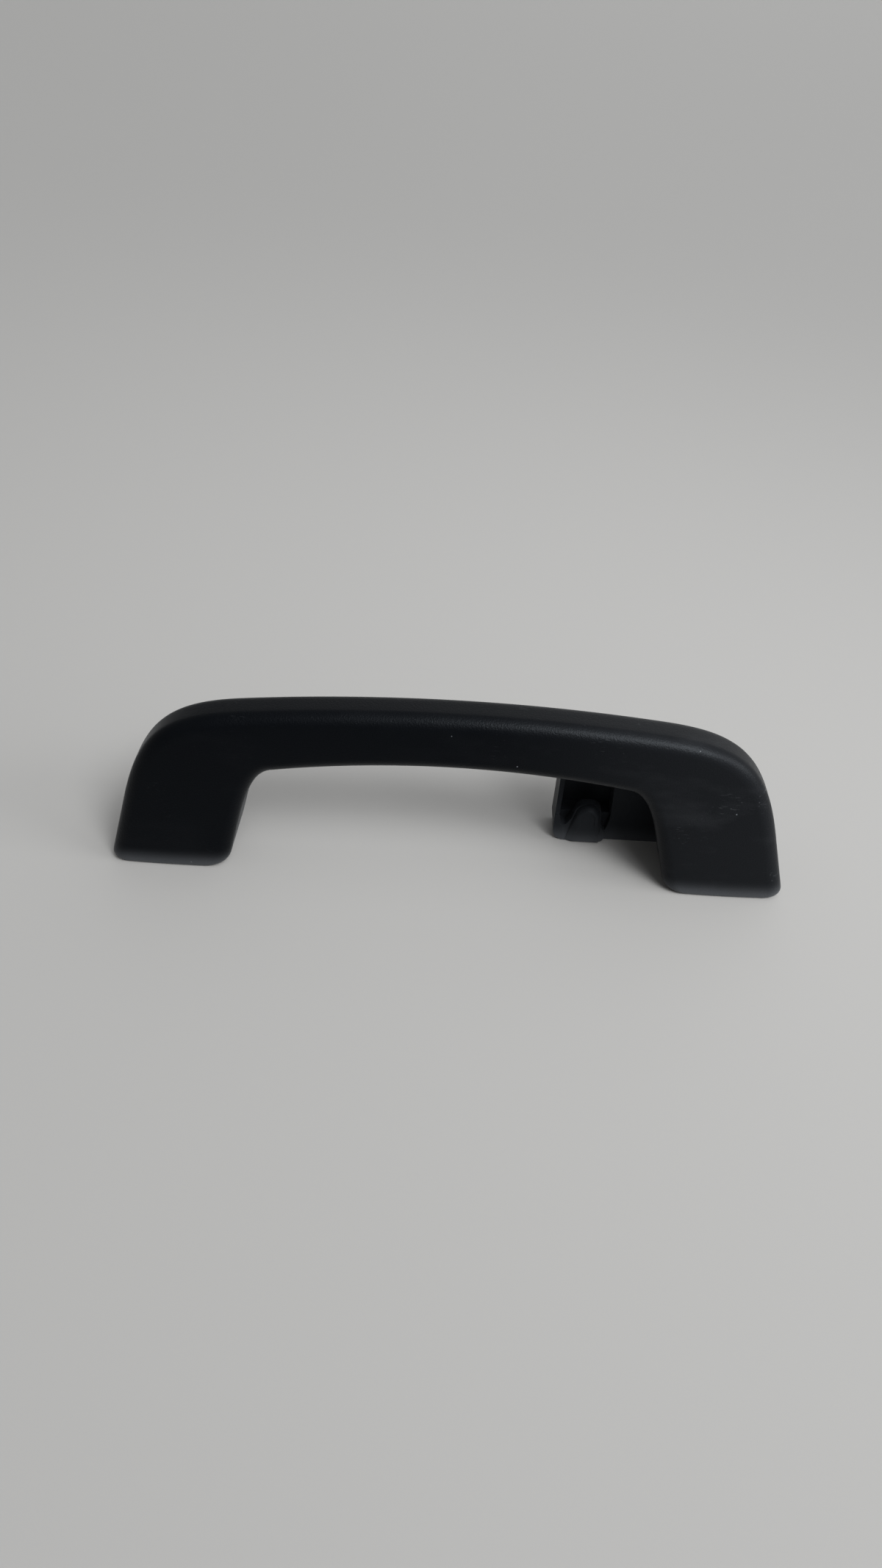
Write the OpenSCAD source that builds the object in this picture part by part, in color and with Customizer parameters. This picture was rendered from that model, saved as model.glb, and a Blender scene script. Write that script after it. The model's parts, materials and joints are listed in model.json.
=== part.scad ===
// Folding roof grab handle: a two-shell grip that swings on two bases, one of them with a coat hook.
// x runs along the grip, y back to the roof panel and z up. The origin lies on the mounting plane,
// midway between the two fixing holes. Heights below are measured from the feet of the legs.

/* [Grip outline] */
// Half of the overall length, at the feet
half_length = 123; // [118:1:130]
// How far the line of the leg reaches into the shoulder
shoulder_pull_leg = 29; // [24:0.1:32]
// How far the top arch reaches into the shoulder
shoulder_pull_arch = 27.2; // [20:0.1:30]
// Height of the grip's top at its middle
grip_height = 70; // [64:0.1:74]
// Height of the grip's front face at its middle
bar_face = 21.3; // [19:0.1:23]
// Width of a leg at its foot
leg_width = 43.2; // [41:0.1:46]
// Lean of a leg's outer side
outer_lean = 15.7; // [12:0.1:18]
// Lean of a leg's inner side
inner_lean = 14; // [11:0.1:16]
// Radius of the arch along the top
top_arch_r = 658; // [500:1:900]
// Radius of the arch along the underside
under_arch_r = 358; // [300:1:500]
// Height at which the outer side starts to turn into the shoulder
shoulder_start = 27.5; // [22:0.1:32]
// How far in from the foot's outer side the shoulder meets the top arch
shoulder_reach = 51.7; // [47:0.1:62]
// How far the line of the leg reaches into the inner corner
armpit_pull_leg = 15.7; // [12:0.1:18]
// How far the under arch reaches into the inner corner
armpit_pull_arch = 8.3; // [6:0.1:11]
// Height at which the inner side starts to turn
armpit_start = 11.5; // [8:0.1:16]
// How far in from the foot's inner side the inner corner meets the under arch
armpit_reach = 18.1; // [14:0.1:24]
// Corner radius of the foot on its outer side
outer_foot_r = 4; // [2:0.1:5]
// Corner radius of the foot on its inner side
inner_foot_r = 5; // [3:0.1:7]

/* [Grip section] */
// Depth of the grip bar, front to back
bar_depth = 17.4; // [16.5:0.1:20]
// Depth of a leg, front face to back rim
leg_depth = 30.6; // [29:0.1:34]
// Wall of both shells
shell_wall = 2.2; // [1.8:0.1:2.6]
// Rounding between the front face and the top
top_edge_r = 5.2; // [4:0.1:7]
// Rounding between the front face and the underside
under_edge_r = 5; // [3:0.1:5.4]
// Rounding between the top and the back of the bar
back_edge_r = 6; // [5:0.1:8]
// Rounding between the underside and the back of the bar
back_under_r = 4; // [3:0.1:5]
// Height of the rounding along the lower front edge of a foot
foot_edge_height = 6.5; // [4:0.1:8]
// Depth of the rounding along the lower front edge of a foot
foot_edge_depth = 1.8; // [1:0.1:2]
// Height at which the rounding of the outer back edge starts
back_round_start = 25; // [24:0.5:28]
// Height over which that rounding grows to its full radius
back_round_span = 15; // [12:0.5:18]
// Bulge of the front face
face_crown = 0.6; // [0.2:0.1:1]
// Depth of the front shell's wall on the inner side of the U
seam_depth = 8; // [6.5:0.1:10]
// Flat lip of the front shell behind its rounded back edge
back_lip = 1; // [0.5:0.1:1.5]
// How far below the underside of the bar's middle its back panel starts to close
closing_drop = 8.8; // [8:0.1:9.5]
// Height over which the back panel closes
closing_span = 7; // [6:0.1:8]
// Height above which the bar has its own depth
flare_top = 46; // [44:0.5:50]
// Height below which a leg has its full depth
flare_foot = 25; // [22:0.5:30]
// Depth of the wall that closes a foot
sole_depth = 9.6; // [8:0.1:9.8]

/* [Hinge] */
// How far the centre of a hinge lies from the middle of its foot, towards the middle of the grip
hinge_shift = 3.9; // [3.5:0.1:4.3]
// Room on each side of a hinge, from the carrier's ear to the side of the foot
hinge_margin = 5.3; // [5:0.1:6]
// Height of the pivot above the feet
pivot_height = 12; // [11.5:0.1:13]
// Distance of the pivot behind the front face
pivot_setback = 17; // [16.5:0.1:18]
// Radius of the hinge pin
pin_r = 2.5; // [2:0.1:3]
// Radius of the pin's head
pin_head_r = 4; // [3.5:0.1:4.5]
// Thickness of the pin's head
pin_head_t = 1; // [0.8:0.1:1.2]
// Wall of a pivot bush
bush_wall = 0.95; // [0.8:0.05:1.2]
// Radius of a bush's flange
bush_flange_r = 5; // [4.5:0.1:6]
// Thickness of a bush's flange
bush_flange_t = 1; // [0.8:0.1:1.2]
// Radius of the base's knuckle
knuckle_r = 8.5; // [8:0.1:8.8]
// Thickness of one knuckle ear
knuckle_ear = 5.5; // [4.5:0.1:6]
// Height of the arm's lower side above the feet
arm_low = 6; // [5:0.1:7]
// Thickness of the carrier's ears and webs
carrier_wall = 3; // [2.4:0.1:3]
// Radius of the carrier's ear round the pin
carrier_ear_r = 6.5; // [5:0.1:7]

/* [Bases] */
// Depth of a base, mounting plane to front rim
base_depth = 12; // [11:0.1:14]
// Height of a base at its inner end, where the hook is
base_height = 45; // [44:0.1:45.5]
// Thickness of a base's floor
base_floor = 2.5; // [2:0.1:3]
// Thickness of the plate between the hook and the leg
plate_wall = 2.4; // [2:0.1:3]
// Thickness of a base's rim
base_rim = 1.8; // [1.5:0.1:2.2]
// Thickness of the ribs behind the plate
rib_wall = 1.4; // [1.2:0.1:1.8]
// How far a base's inner end leans back over its height
end_lean = 1.6; // [1:0.1:2]
// Distance of a base's outer side from the outer side of the leg
base_setback = 4.5; // [4:0.1:5.5]
// Distance from the hinge's centre to the end of the base that has the hook
hook_reach = 57.9; // [56:0.1:59]
// Height of the fixing holes above the feet
hole_height = 28.5; // [28:0.1:29]
// Distance from a hinge's centre to the fixing hole, towards the middle
hole_shift = 1; // [0.5:0.1:1.5]
// Radius of a fixing hole
hole_r = 3.3; // [2.8:0.1:3.5]
// Wall of the steel sleeve in a fixing hole
sleeve_wall = 1.2; // [1:0.1:1.4]
// Length of the steel sleeve
sleeve_length = 8; // [6:0.5:9]
// Radius of the boss round the sleeve
hole_boss_r = 5.6; // [5.5:0.1:5.8]
// Radius of the locating peg on a base's back
peg_r = 2.5; // [2:0.1:3]
// Height of the peg's axis above the feet
peg_height = 5; // [4.5:0.5:6]
// Length of the locating peg
peg_length = 4; // [3:0.5:5]
// Radius of a rubber bumper
bumper_r = 1.8; // [1.5:0.1:1.9]
// Height of a bumper's axis above the feet
bumper_height = 37.9; // [37.8:0.1:38.2]
// Distance of a bumper from the fixing hole, towards the middle
bumper_shift = 6; // [5.5:0.1:6.5]
// Length of a bumper
bumper_length = 11.5; // [10:0.5:12.5]
// Room between a bumper and the rim of the base above it
bumper_room = 0.4; // [0.3:0.1:0.6]

/* [Coat hook] */
// Height of the hook's tip above the feet
hook_height = 17.5; // [15:0.1:18]
// Width of the hook's tongue
hook_width = 8.8; // [8:0.1:9.5]
// Distance from the base's end to the middle of the tongue
hook_offset = 12.6; // [12:0.1:13]
// Thickness of the tongue at its tip
hook_thickness = 6.5; // [5:0.1:7]
// How far the hook's foot stands in front of the base's rim
hook_foot = 2; // [1:0.1:3]
// How much wider the tongue is at its root, on its left side
hook_flare = 3; // [2.5:0.1:3.2]
// Depth of the dish in the tongue's front
hook_dish = 0.4; // [0.2:0.1:0.6]
// Distance from the base's end to the far side of the well behind the hook
well_width = 21.4; // [21:0.1:24]
// How far the tip leans out in front of the foot
hook_lean = 3; // [1:0.1:4]
// Height of the ledge that a hanger rests on
ledge_height = 10.6; // [10:0.1:12]

/* [Fasteners] */
// Radius of a screw's shank
screw_r = 1.25; // [1:0.05:1.5]
// Radius of a screw's head
screw_head_r = 2.9; // [2.4:0.1:3]
// Thickness of a screw's head
screw_head_t = 1.8; // [1.4:0.1:2]
// Radius of the bosses that the screws enter
boss_r = 3; // [2.6:0.1:3.2]
// Length of a screw that holds a carrier
carrier_screw = 9; // [7:0.5:9.5]
// Length of a screw that holds the rear cover
cover_screw = 9.5; // [8:0.5:10.5]
// Height of the carrier screws above the feet
carrier_screw_height = 30.5; // [28:0.5:32]
// Distance of a carrier's screws from the ends of its upper web
carrier_screw_inset = 2.8; // [2.6:0.1:4]
// Spacing of the screws along the bar
cover_screw_pitch = 48; // [40:1:52]

/* [Spring and damper] */
// Radius of the spring's wire
wire_r = 0.7; // [0.5:0.05:0.75]
// Middle radius of the spring's coil
coil_r = 4.9; // [4.8:0.1:5.5]
// Gap between the spring's turns
coil_gap = 0.2; // [0.15:0.05:0.3]
// Radius of the damper's housing
damper_r = 7.4; // [7:0.1:7.9]
// Wall of the damper's housing
damper_wall = 1.2; // [1:0.1:1.5]

/* [Clearances] */
// Gap between the folded leg and its base
fold_gap = 0.4; // [0.3:0.05:0.6]
// Gap between neighbours that move past each other
running_gap = 0.3; // [0.3:0.05:0.4]
// Radial clearance of a pin that turns in a bore
bore_gap = 0.05; // [0.03:0.01:0.1]
// Radial clearance of what is pressed in
press_gap = 0.01; // [0.01:0.005:0.02]
// Gap at the seam between the two shells
seam_gap = 0.25; // [0.1:0.05:0.4]
// Room that a screw has in the piece it clamps
screw_gap = 0.4; // [0.3:0.05:0.5]

/* [Hidden] */
$fn = 48;

// Places in depth
shoulder_end = half_length - shoulder_reach;
armpit_end = half_length - leg_width - armpit_reach;
hinge_x = half_length - leg_width / 2 - hinge_shift;
hole_x = hinge_x - hole_shift;
hook_end = hinge_x - hook_reach;
hook_x = hook_end + hook_offset;
front_y = -(base_depth + fold_gap + leg_depth);
pivot_y = front_y + pivot_setback;
base_front = -base_depth;
floor_front = -base_floor;
pivot_to_base = base_front - pivot_y;
heel_r = pivot_to_base - fold_gap;

// Places along the hinge, for the right side
knuckle_width = leg_width - 2 * (hinge_margin + carrier_wall + bush_flange_t + running_gap);
knuckle_in = hinge_x - knuckle_width / 2;
knuckle_out = hinge_x + knuckle_width / 2;
pocket_in = knuckle_in + knuckle_ear;
pocket_out = knuckle_out - knuckle_ear;
ear_in_face = knuckle_in - bush_flange_t - running_gap;
ear_out_face = knuckle_out + bush_flange_t + running_gap;
clip_t = 0.6;
foot_in = half_length - leg_width + inner_foot_r;
foot_out = half_length - outer_foot_r;
pin_tail = 0.3;
bush_r = pin_r + bore_gap + bush_wall;

// The carrier inside a leg
web_clear = 0.5;
web_wall = 2.4;
web_back = pivot_y - knuckle_r - web_clear;
web_front = web_back - web_wall;
web_top = pivot_height + knuckle_r + 3;
web_low = pivot_height - carrier_ear_r;
upper_web_setback = 12;
upper_web_front = front_y + upper_web_setback;
upper_web_back = upper_web_front + web_wall;
upper_web_top = 42;
upper_web_in = knuckle_in - 0.5;
upper_web_out = knuckle_out - 3;
carrier_screw_places = [upper_web_in + carrier_screw_inset, upper_web_out - carrier_screw_inset];
stop_post_r = 2.4;
bumper_seat = 1;
bumper_x = hole_x - bumper_shift;

// The place where a base's top edge bends down, just past its bumper
bend_x = bumper_x + 1.5;
bend_z = bumper_height + bumper_r + bumper_room + base_rim;

// The cap over a fixing screw
cap_wall = 1.2;
cap_room = 0.3;
cap_half_height = hole_boss_r + cap_room + cap_wall;
cap_half_width = cap_half_height + 0.5;
cap_corner_r = 4;
cap_rise = 5.5;
cap_back = floor_front - running_gap;
cap_front = base_front - cap_rise;
plain_inner = hole_x - cap_half_width - base_rim - end_lean - running_gap;
well_end = hook_end + well_width;

// Steps along the legs, shoulders and arches, and round a section
leg_steps = [0, 0.015, 0.04, 0.08, 0.13, 0.19, 0.3, 0.5, 0.75];
shoulder_steps = 16;
arch_steps = 8;
arc_steps = 4;

function lerp(a, b, t) = a + (b - a) * t;
function clamp01(t) = max(0, min(1, t));
function ease(t) = let (c = clamp01(t)) c * c * (3 - 2 * c);
function bezier(p, t) =
    pow(1 - t, 3) * p[0] + 3 * pow(1 - t, 2) * t * p[1] + 3 * (1 - t) * t * t * p[2] + pow(t, 3) * p[3];
function arch(x, top, r) = top - x * x / (2 * r);
function arc(centre, r, from, to, n) =
    [for (k = [0 : n]) let (a = lerp(from, to, k / n)) centre + r * [cos(a), sin(a)]];

// How far a corner of radius r stands back from its side, at height z above the corner's start
function corner_inset(z, r) = z >= r ? 0 : r - sqrt(r * r - (r - z) * (r - z));

// Half of an outline of the U in the xz plane, from the foot to the middle of the arch
function half_outline(half, lean, foot, turn_z, meet_x, pull_a, pull_b, top, r) =
    let (up = [-sin(lean), cos(lean)],
        start = [half - turn_z * tan(lean), turn_z],
        end = [meet_x, arch(meet_x, top, r)],
        along = [r, -meet_x] / norm([r, -meet_x]),
        curve = [start, start + up * pull_a, end + along * pull_b, end])
    concat(
        [for (f = leg_steps) let (z = f * turn_z)
            [half - z * tan(lean) - sign(foot) * corner_inset(z, abs(foot)), z]],
        [for (k = [0 : shoulder_steps - 1]) bezier(curve, k / shoulder_steps)],
        [for (k = [0 : arch_steps]) let (x = meet_x * (1 - k / arch_steps)) [x, arch(x, top, r)]]
    );
function mirrored(half) =
    concat([for (p = half) [-p[0], p[1]]], [for (k = [len(half) - 2 : -1 : 0]) half[k]]);

bar_low = grip_height - bar_face;
outer = mirrored(half_outline(half_length, outer_lean, outer_foot_r, shoulder_start, shoulder_end,
    shoulder_pull_leg, shoulder_pull_arch, grip_height, top_arch_r));
inner = mirrored(half_outline(half_length - leg_width, inner_lean, -inner_foot_r, armpit_start, armpit_end,
    armpit_pull_leg, armpit_pull_arch, bar_low, under_arch_r));

// Depth of a shell's side wall at height z: deep in the leg, rounded round the pivot at the heel
function wall_depth(z) =
    let (body = lerp(leg_depth, bar_depth, ease((z - flare_foot) / (flare_top - flare_foot))),
        drop = pivot_height - z,
        heel = pivot_setback + sqrt(max(0, heel_r * heel_r - drop * drop)))
    drop > 0 ? min(body, heel) : body;

// How far the outer back edge is rounded at a station: 0 in the feet, 1 in the shoulders and the bar
function rounding(s) = ease((outer[s][1] - back_round_start) / back_round_span);

// How far the back of the bar is closed at a station: 0 in the legs, 1 in the bar
function closing(s) = ease(((outer[s][1] + inner[s][1]) / 2 - bar_low + closing_drop) / closing_span);
function span(s) = norm(outer[s] - inner[s]);
function crowned(p, w) = [p[0], p[1] + face_crown * pow(2 * p[0] / w - 1, 2) * clamp01(1 - p[1] / top_edge_r)];

// Section of the front shell in the plane of one station: u from the inner outline, v from the front face,
// c from 0 for the open leg to 1 for the rounded back edge
function front_outside(w, d, c) =
    let (r = lerp(0.5, back_edge_r, c), rim = lerp(shell_wall - 0.3, back_edge_r + back_lip, c))
    concat(
        [[w - rim, d]],
        arc([w - r, d - r], r, 90, 0, arc_steps),
        [for (p = arc([w - top_edge_r, top_edge_r], top_edge_r, 0, -90, arc_steps)) crowned(p, w)],
        [for (f = [0.75, 0.5, 0.25]) crowned([lerp(under_edge_r, w - top_edge_r, f), 0], w)],
        [for (p = arc([under_edge_r, under_edge_r], under_edge_r, -90, -180, arc_steps)) crowned(p, w)],
        [[0, seam_depth]]
    );
function front_inside(w, d, c) =
    let (t = shell_wall,
        r = lerp(0.3, back_edge_r - t, c),
        rim = lerp(t, back_edge_r + back_lip, c),
        back = d - lerp(0.5, t, c),
        top_r = top_edge_r - t,
        low_r = under_edge_r - t)
    concat(
        [[w - rim, back]],
        [for (k = [0 : arc_steps]) let (a = 90 - 90 * k / arc_steps,
            leg = [w - t, back - 0.2 - 0.4 * k],
            bar = [w - t - r, back - r] + r * [cos(a), sin(a)]) lerp(leg, bar, c)],
        [for (p = arc([w - t - top_r, t + top_r], top_r, 0, -90, arc_steps)) crowned(p, w)],
        [for (f = [0.75, 0.5, 0.25]) crowned([lerp(under_edge_r, w - top_edge_r, f), t], w)],
        [for (p = arc([t + low_r, t + low_r], low_r, -90, -180, arc_steps)) crowned(p, w)],
        [[t, seam_depth]]
    );

// Section of the rear cover, in the same plane: its back panel narrows to nothing in the legs
function rear_outside(w, d, c) =
    let (r = lerp(0.5, back_under_r, c),
        edge = lerp(shell_wall - 0.3, w - back_edge_r - back_lip - seam_gap, c))
    concat([[edge, d]], arc([r, d - r], r, 90, 180, arc_steps), [[0, seam_depth + seam_gap]]);
function rear_inside(w, d, c) =
    let (t = shell_wall,
        r = lerp(0.3, back_under_r - t, c),
        edge = lerp(t, w - back_edge_r - back_lip - seam_gap, c),
        back = d - lerp(0.5, t, c))
    concat([[edge, back]],
        [for (k = [0 : arc_steps]) let (a = 90 + 90 * k / arc_steps,
            leg = [t, back - 0.2 - 0.4 * k],
            bar = [t + r, back - r] + r * [cos(a), sin(a)]) lerp(leg, bar, c)],
        [[t, seam_depth + seam_gap]]);

// A section's points in space, set back towards the lower edge of a foot
function placed(s, points) =
    let (n = (outer[s] - inner[s]) / span(s),
        edge = foot_edge_depth * corner_inset(outer[s][1], foot_edge_height) / foot_edge_height)
    [for (p = points) [inner[s][0] + n[0] * p[0],
        front_y + p[1] + edge * max(0, 1 - p[1] / seam_depth), inner[s][1] + n[1] * p[0]]];

// A closed skin between two grids of points, one row for each station. The first grid is on the left
// of the direction in which its rows run
module skin(outside, inside) {
    rows = len(outside);
    m = len(outside[0]);
    half = rows * m;
    function o(s, i) = s * m + i;
    function n(s, i) = half + s * m + i;
    polyhedron(
        points = concat([for (row = outside) each row], [for (row = inside) each row]),
        faces = concat(
            [for (s = [0 : rows - 2], i = [0 : m - 2]) each
                [[o(s, i), o(s + 1, i), o(s + 1, i + 1)], [o(s, i), o(s + 1, i + 1), o(s, i + 1)]]],
            [for (s = [0 : rows - 2], i = [0 : m - 2]) each
                [[n(s, i), n(s + 1, i + 1), n(s + 1, i)], [n(s, i), n(s, i + 1), n(s + 1, i + 1)]]],
            [for (s = [0 : rows - 2]) each
                [[o(s, 0), n(s, 0), n(s + 1, 0)], [o(s, 0), n(s + 1, 0), o(s + 1, 0)]]],
            [for (s = [0 : rows - 2]) each
                [[o(s, m - 1), n(s + 1, m - 1), n(s, m - 1)], [o(s, m - 1), o(s + 1, m - 1), n(s + 1, m - 1)]]],
            [for (i = [0 : m - 2]) each
                [[o(0, i), o(0, i + 1), n(0, i + 1)], [o(0, i), n(0, i + 1), n(0, i)]]],
            [for (i = [0 : m - 2]) each
                [[o(rows - 1, i), n(rows - 1, i + 1), o(rows - 1, i + 1)],
                    [o(rows - 1, i), n(rows - 1, i), n(rows - 1, i + 1)]]]
        )
    );
}

// Everything is drawn with the feet at z = 0 and moved down so that the fixing holes are at z = 0
module placed_part() {
    translate([0, 0, -hole_height]) children();
}
module on_side(side) {
    if (side < 0) mirror([1, 0, 0]) children();
    else children();
}
// A cylinder along x from x0 to x1, on the pivot axis
module on_pivot(x0, x1, r) {
    translate([x0, pivot_y, pivot_height]) rotate([0, 90, 0]) cylinder(h = x1 - x0, r = r);
}
// A cylinder along y from y0 to y1
module along_y(x, z, y0, y1, r) {
    translate([x, y1, z]) rotate([90, 0, 0]) cylinder(h = y1 - y0, r = r);
}
module block(x0, x1, y0, y1, z0, z1) {
    translate([x0, y0, z0]) cube([x1 - x0, y1 - y0, z1 - z0]);
}
// An outline in the xz plane, extruded from y0 to y1
module slab(points, y0, y1) {
    translate([0, y1, 0]) rotate([90, 0, 0]) linear_extrude(height = y1 - y0) polygon(points);
}

// Corners of an outline rounded, each with its own radius
function corner_arc(a, b, c, r) =
    let (u = (a - b) / norm(a - b), v = (c - b) / norm(c - b),
        half = acos(u * v) / 2,
        centre = b + (u + v) / norm(u + v) * r / sin(half),
        p = b + u * r / tan(half),
        q = b + v * r / tan(half),
        a0 = atan2(p[1] - centre[1], p[0] - centre[0]),
        turn = (atan2(q[1] - centre[1], q[0] - centre[0]) - a0 + 540) % 360 - 180)
    r <= 0 ? [b] : [for (k = [0 : 6]) centre + r * [cos(a0 + turn * k / 6), sin(a0 + turn * k / 6)]];
function rounded(pts, radii) =
    let (n = len(pts))
    [for (i = [0 : n - 1]) each corner_arc(pts[(i + n - 1) % n], pts[i], pts[(i + 1) % n], radii[i])];

// Cover screws stand on the middle of the back panel
cover_screw_u = 5.5;
function cover_screw_z(x) = arch(x, bar_low, under_arch_r) + cover_screw_u;
cover_rows = [3 : len(outer) - 4];
cover_seat = bar_depth - 3.4;
cover_cup = 1.5;
cover_cup_r = 4;
sole_start = foot_edge_depth + 0.3;

module grip_front_shell() {
    color([0.09, 0.092, 0.098]) placed_part() difference() {
        union() {
            skin(
                [for (s = [0 : len(outer) - 1])
                    placed(s, front_outside(span(s), wall_depth(outer[s][1]), rounding(s)))],
                [for (s = [0 : len(outer) - 1])
                    placed(s, front_inside(span(s), wall_depth(outer[s][1]), rounding(s)))]
            );
            for (side = [-1, 1]) on_side(side) {
                block(foot_in + 1, foot_out - 1.2, front_y + sole_start, front_y + seam_depth, 0, shell_wall);
                block(foot_in + shell_wall + running_gap, foot_out - 1.2, front_y + sole_start,
                    front_y + sole_depth, 0, shell_wall);
                for (x = carrier_screw_places)
                    along_y(x, carrier_screw_height, front_y + shell_wall - 0.8, upper_web_front, boss_r);
            }
            for (x = [-cover_screw_pitch, 0, cover_screw_pitch])
                along_y(x, cover_screw_z(x), front_y + shell_wall - 0.8,
                    front_y + cover_seat - cover_cup, boss_r);
        }
        for (side = [-1, 1]) on_side(side)
            for (x = carrier_screw_places)
                along_y(x, carrier_screw_height, upper_web_back - carrier_screw - 0.5, upper_web_front + 1,
                    screw_r + press_gap);
        for (x = [-cover_screw_pitch, 0, cover_screw_pitch])
            along_y(x, cover_screw_z(x), front_y + cover_seat - cover_screw - 0.5, front_y + cover_seat,
                screw_r + press_gap);
    }
}

module grip_rear_cover() {
    color([0.1, 0.1, 0.105]) placed_part() difference() {
        union() {
            skin(
                [for (s = cover_rows) placed(s, rear_inside(span(s), wall_depth(inner[s][1]), closing(s)))],
                [for (s = cover_rows) placed(s, rear_outside(span(s), wall_depth(inner[s][1]), closing(s)))]
            );
            for (x = [-cover_screw_pitch, 0, cover_screw_pitch])
                along_y(x, cover_screw_z(x), front_y + cover_seat - cover_cup, front_y + bar_depth - 1.9,
                    cover_cup_r);
        }
        for (x = [-cover_screw_pitch, 0, cover_screw_pitch]) {
            along_y(x, cover_screw_z(x), front_y + cover_seat, front_y + bar_depth + 1,
                screw_head_r + screw_gap);
            along_y(x, cover_screw_z(x), front_y + cover_seat - cover_cup - 1, front_y + cover_seat + 1,
                screw_r + screw_gap);
        }
    }
}

// A self-tapping screw that comes from the back: its head's underside lies at y
module screw(x, y, z, length) {
    difference() {
        union() {
            along_y(x, z, y, y + screw_head_t, screw_head_r);
            along_y(x, z, y - length, y, screw_r);
        }
        translate([x, y + screw_head_t + 0.01, z]) rotate([90, 0, 0])
            cylinder(h = screw_head_t * 0.6, r = screw_head_r * 0.5, $fn = 6);
    }
}

module cover_screws() {
    color([0.35, 0.35, 0.37]) placed_part()
        for (x = [-cover_screw_pitch, 0, cover_screw_pitch])
            screw(x, front_y + cover_seat, cover_screw_z(x), cover_screw);
}

module carrier_screws() {
    color([0.35, 0.35, 0.37]) placed_part()
        for (side = [-1, 1]) on_side(side)
            for (x = carrier_screw_places) screw(x, upper_web_back, carrier_screw_height, carrier_screw);
}

// Inner frame of a leg: two ears round the pin, and webs screwed to the front shell
module hinge_carrier(side) {
    color([0.2, 0.2, 0.21]) placed_part() on_side(side) difference() {
        union() {
            for (x = [ear_in_face - carrier_wall, ear_out_face]) {
                on_pivot(x, x + carrier_wall, carrier_ear_r);
                block(x, x + carrier_wall, web_front, pivot_y, web_low, pivot_height + carrier_ear_r);
                block(x, x + carrier_wall, web_front, web_back + 3, web_low, web_top);
            }
            block(ear_in_face - carrier_wall, ear_out_face + carrier_wall, web_front, web_back,
                web_low, web_top);
            block(upper_web_in, upper_web_out, web_front, upper_web_back, web_top - web_wall, web_top);
            block(upper_web_in, upper_web_out, upper_web_front, upper_web_back,
                web_top - web_wall, upper_web_top);
            along_y(bumper_x, bumper_height, upper_web_front + 0.5, floor_front - bumper_length - running_gap,
                stop_post_r);
        }
        on_pivot(ear_in_face - carrier_wall - 1, ear_out_face + carrier_wall + 1, pin_r + press_gap);
        for (x = carrier_screw_places)
            along_y(x, carrier_screw_height, upper_web_front - 1, upper_web_back + 1, screw_r + screw_gap);
    }
}
module left_hinge_carrier() { hinge_carrier(-1); }
module right_hinge_carrier() { hinge_carrier(1); }

// Steel pin with a head at its outer end
module hinge_pin(side) {
    color([0.6, 0.6, 0.62]) placed_part() on_side(side) {
        on_pivot(ear_in_face - carrier_wall - clip_t - pin_tail, ear_out_face + carrier_wall + 0.1, pin_r);
        on_pivot(ear_out_face + carrier_wall, ear_out_face + carrier_wall + pin_head_t, pin_head_r);
    }
}
module left_hinge_pin() { hinge_pin(-1); }
module right_hinge_pin() { hinge_pin(1); }

// Push-on ring that keeps the pin in its carrier
module pin_clip(side) {
    clip_face = ear_in_face - carrier_wall;
    color([0.55, 0.55, 0.57]) placed_part() on_side(side) difference() {
        on_pivot(clip_face - clip_t, clip_face, pin_head_r);
        on_pivot(clip_face - clip_t - 1, clip_face + 1, pin_r + press_gap);
    }
}
module left_pin_clip() { pin_clip(-1); }
module right_pin_clip() { pin_clip(1); }

// Outline of a base from the front: its outer side follows the leg, its inner end is at x = end, and its
// top falls towards the outer side, where the folded grip hides it
function base_top(x) = lerp(bend_z, base_height, (bend_x - x) / (bend_x - hook_end));
function base_end(end, z) = end + end_lean * z / base_height;
function base_shape(end, inset) =
    let (slope = tan(outer_lean),
        side = half_length - base_setback - inset,
        top_end = base_end(end, base_height) + inset)
    rounded([[end + inset, inset], [side - inset * slope, inset],
        [side - shoulder_start * slope, shoulder_start],
        [hole_x + cap_half_width + 0.4 - 0.6 * inset, hole_height + cap_half_height + 0.9 - inset],
        [bend_x, bend_z - inset], [top_end, base_top(top_end) - inset]],
        [for (r = [4.6, 3, 10, 8, 5, 3.4]) max(0.6, r - inset)]);

module base_body(end) {
    difference() {
        union() {
            difference() {
                slab(base_shape(end, 0), base_front, 0);
                slab(base_shape(plain_inner, base_rim), base_front - 1, floor_front);
            }
            along_y(hole_x, hole_height, -sleeve_length, 0, hole_boss_r);
            along_y(hole_x, peg_height, floor_front, peg_length, peg_r);
            for (x = [knuckle_in, pocket_out]) {
                on_pivot(x, x + knuckle_ear, knuckle_r);
                block(x, x + knuckle_ear, pivot_y, floor_front + 0.5, arm_low, pivot_height + knuckle_r);
            }
        }
        along_y(hole_x, hole_height, -sleeve_length - 1, 1, hole_r + sleeve_wall + press_gap);
        on_pivot(knuckle_in - 1, knuckle_out + 1, bush_r + press_gap);
        along_y(bumper_x, bumper_height, floor_front - 1, floor_front + bumper_seat, bumper_r + press_gap);
    }
}

module left_base() {
    color([0.1, 0.1, 0.105]) placed_part() on_side(-1) base_body(plain_inner);
}

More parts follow.
